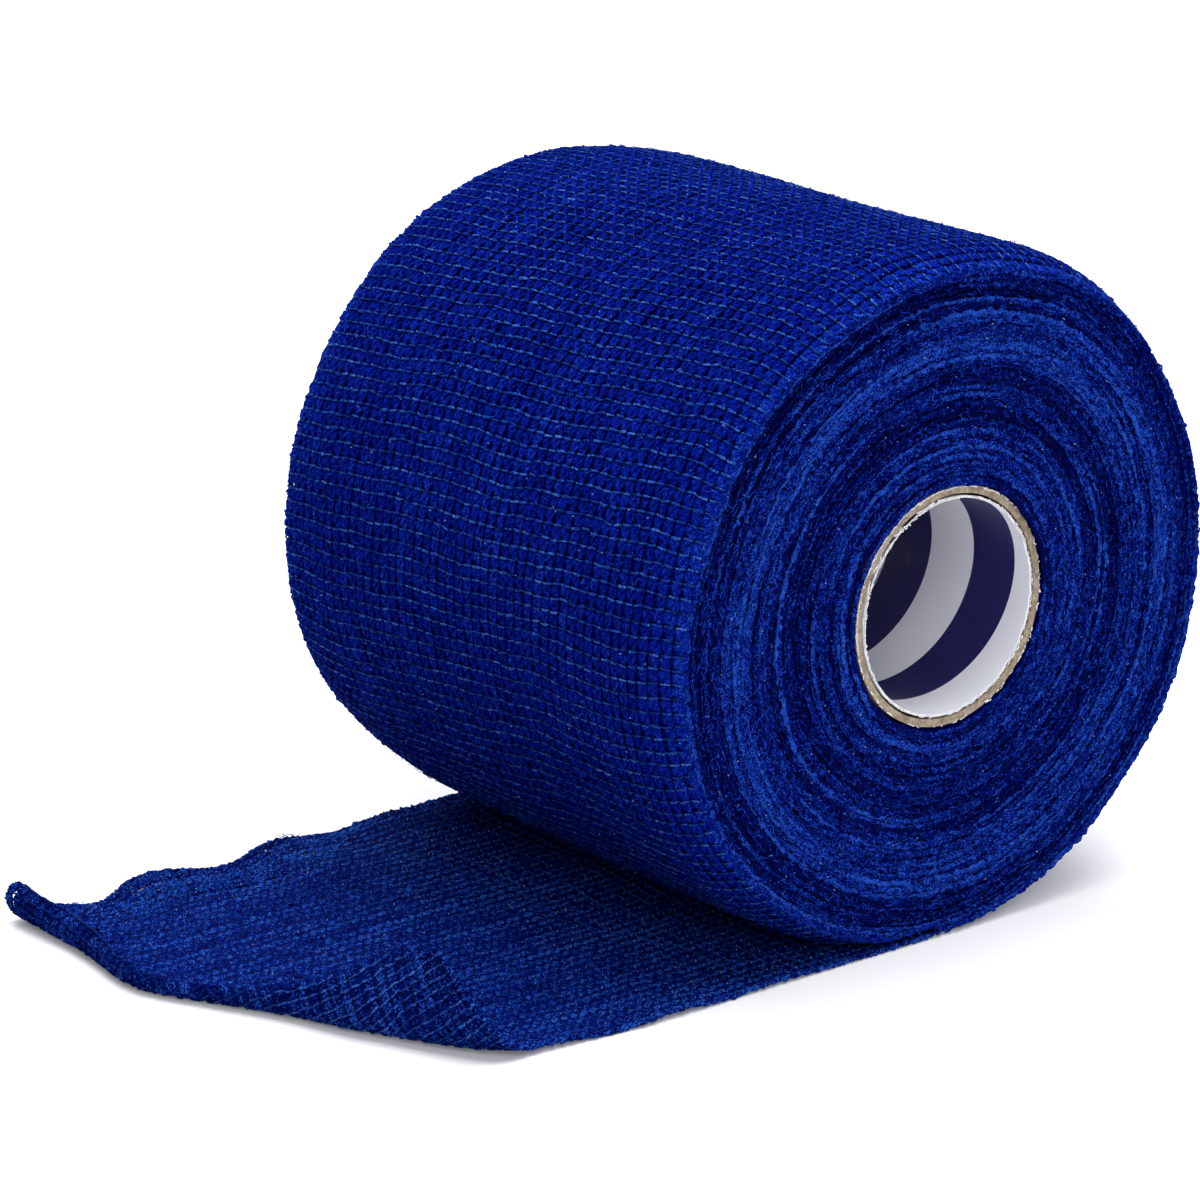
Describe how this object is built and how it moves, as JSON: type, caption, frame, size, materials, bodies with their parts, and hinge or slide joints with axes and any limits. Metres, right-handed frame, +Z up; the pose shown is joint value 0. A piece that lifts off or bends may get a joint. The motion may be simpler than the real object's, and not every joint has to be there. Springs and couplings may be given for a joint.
{
  "type": "cohesive bandage roll",
  "caption": "Wide roll of elastic cohesive gauze bandage on an open card core, lying on its side with its loose end rolled out flat and its cut corner turned up.",
  "frame": {"origin": "middle of the part's box, on the surface that the roll and its loose end lie on", "axes": "+Z up; the loose end runs out towards -X; the roll's axis runs along Y, with the near end face towards -Y"},
  "size_m": [0.1374, 0.0808, 0.0895],
  "materials": {
    "blue_gauze": "matt crinkled open-weave gauze, royal blue, with paler blue weft threads",
    "kraft_card": "raw kraft card, matt, fibrous at its cut ends",
    "white_paper": "smooth white paper ply, slightly glossy, with broad navy bands"
  },
  "bodies": {
    "root": {"core_tube": "kraft_card", "core_liner": "white_paper", "wound_roll": "blue_gauze", "loose_end": "blue_gauze"}
  },
  "joints": []
}
